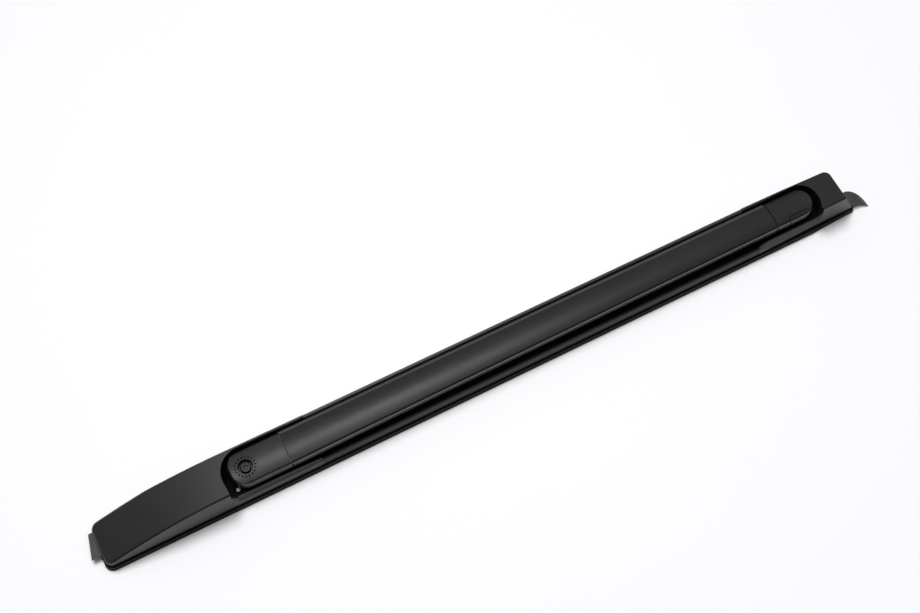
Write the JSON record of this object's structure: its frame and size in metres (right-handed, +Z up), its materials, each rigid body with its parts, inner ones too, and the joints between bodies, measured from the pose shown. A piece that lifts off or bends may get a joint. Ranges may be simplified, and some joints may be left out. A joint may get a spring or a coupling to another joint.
{
  "type": "roof rail",
  "caption": "Long satin black vehicle roof rail with a crossbar stowed in its open trough; the bar swings out sideways about a bolt near the sloping nose and carries a small latch paddle.",
  "frame": {"origin": "middle of the whole rail in plan, on the underside of the gasket pad", "axes": "+X along the rail from the sloping nose with the pivot to the short raked tail, -Y toward the open side that the bar swings out of, +Z up from the roof"},
  "size_m": [1.389, 0.084, 0.057],
  "materials": {
    "gasket": "matte black rubber",
    "strip_metal": "plain",
    "coated_metal": "satin black coat",
    "moulding": "satin black",
    "bar_coat": "satin black coat",
    "bright_steel": "zinc plated",
    "dark_steel": "black oxide",
    "brass": "plain",
    "hook_steel": "dark coat"
  },
  "bodies": {
    "rail": {"base_pad": "gasket", "spine": "strip_metal", "rail_beam": "coated_metal", "back_wall": "coated_metal", "nose_cover": "moulding", "tail_cover": "moulding", "pivot_bolt": "dark_steel", "pivot_washer": "dark_steel", "pivot_bracket": "dark_steel", "nose_hook": "hook_steel", "tail_hook": "hook_steel", "hook_rivets": "bright_steel", "cover_screws": "bright_steel", "roof_inserts": "bright_steel", "bar_rests": "gasket"},
    "bar": {"crossbar": "bar_coat", "pivot_cap": "moulding", "latch_cap": "moulding", "lever_pin": "bright_steel", "lever_spring": "bright_steel", "pivot_bush": "brass"},
    "lever": {"latch_lever": "moulding"}
  },
  "joints": [
    {"name": "bar_swing", "type": "hinge", "parent": "rail", "child": "bar", "pos_m": [-0.4275, 0, 0.04], "axis": [0, 0, -1], "range_deg": [0, 90]},
    {"name": "lever_turn", "type": "hinge", "parent": "bar", "child": "lever", "pos_m": [0.561, -0.0179, 0.0454], "axis": [-1, 0, 0], "range_deg": [0, 35], "stiffness_Nm_per_rad": 0.05, "springref_deg": -11.46}
  ]
}
